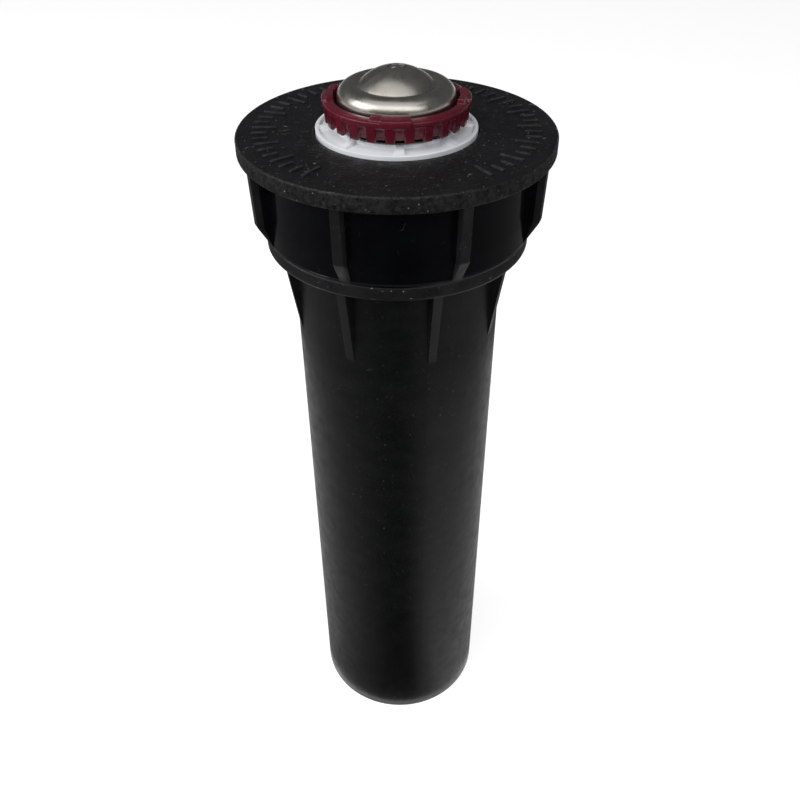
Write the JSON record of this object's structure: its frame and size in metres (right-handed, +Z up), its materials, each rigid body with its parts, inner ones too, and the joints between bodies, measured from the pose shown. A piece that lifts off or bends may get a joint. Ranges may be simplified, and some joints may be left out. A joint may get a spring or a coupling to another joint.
{
  "type": "pop-up sprinkler",
  "caption": "Buried pop-up sprinkler with a half-inch bottom inlet, a spring-retracted riser and a rotary nozzle with an adjustable arc ring and a steel-capped spinning turret.",
  "frame": {"origin": "centre of the casing's foot, on the riser's axis", "axes": "+Z up the riser, from the inlet to the cap; the raised tabs of the arc ring stand near the X and Y axes"},
  "size_m": [0.057, 0.057, 0.1606],
  "materials": {
    "black_abs": "satin, finely grained",
    "black_gloss": "glossy moulded",
    "white_plastic": "satin",
    "red_plastic": "semi-gloss",
    "stainless": "satin pressed sheet",
    "spring_steel": "bright drawn wire and turned stock",
    "grey_acetal": "satin",
    "black_rubber": "matt"
  },
  "bodies": {
    "casing": {"body_casing": "black_abs", "body_cap": "black_gloss", "seal_retainer": "white_plastic", "wiper_seal": "black_rubber", "spring_seat": "grey_acetal", "retract_spring": "spring_steel"},
    "ratchet": {"ratchet_ring": "grey_acetal"},
    "riser": {"riser_stem": "black_abs", "filter_basket": "grey_acetal", "nozzle_base": "black_abs", "arc_seat": "grey_acetal", "throttle_cage": "black_abs", "turret_spring": "spring_steel"},
    "arc_adjuster": {"arc_ring": "red_plastic", "arc_valve": "grey_acetal"},
    "turret_lift": {"spring_retainer": "grey_acetal"},
    "shaft": {"turret_shaft": "spring_steel", "shaft_clip": "spring_steel", "damper_rotor": "grey_acetal"},
    "throttle": {"throttle_nut": "grey_acetal"},
    "turret": {"deflector": "black_abs", "shaft_seal": "black_rubber", "damper_cover": "grey_acetal", "steel_cap": "stainless"}
  },
  "joints": [
    {"name": "riser_lift", "type": "slide", "parent": "casing", "child": "ratchet", "axis": [0, 0, 1], "range_m": [0, 0.095], "stiffness_N_per_m": 100, "springref_m": -0.04, "deforming": ["retract_spring"]},
    {"name": "ratchet_turn", "type": "hinge", "parent": "ratchet", "child": "riser", "pos_m": [0, 0, 0.022], "axis": [0, 0, 1], "continuous": true},
    {"name": "arc_adjust", "type": "hinge", "parent": "riser", "child": "arc_adjuster", "pos_m": [0, 0, 0.153], "axis": [0, 0, -1], "range_deg": [0, 120]},
    {"name": "turret_pop", "type": "slide", "parent": "riser", "child": "turret_lift", "axis": [0, 0, 1], "range_m": [0, 0.005], "stiffness_N_per_m": 200, "springref_m": -0.002, "deforming": ["turret_spring"]},
    {"name": "radius_screw", "type": "hinge", "parent": "turret_lift", "child": "shaft", "pos_m": [0, 0, 0.15], "axis": [0, 0, -1], "range_deg": [0, 720]},
    {"name": "throttle_travel", "type": "slide", "parent": "turret_lift", "child": "throttle", "axis": [0, 0, 1], "range_m": [0, 0.0014]},
    {"name": "deflector_spin", "type": "hinge", "parent": "shaft", "child": "turret", "pos_m": [0, 0, 0.155], "axis": [0, 0, 1], "continuous": true}
  ],
  "couplings": [
    {"joint": "throttle_travel", "follows": "radius_screw", "m_per_rad": 0.0001114}
  ]
}
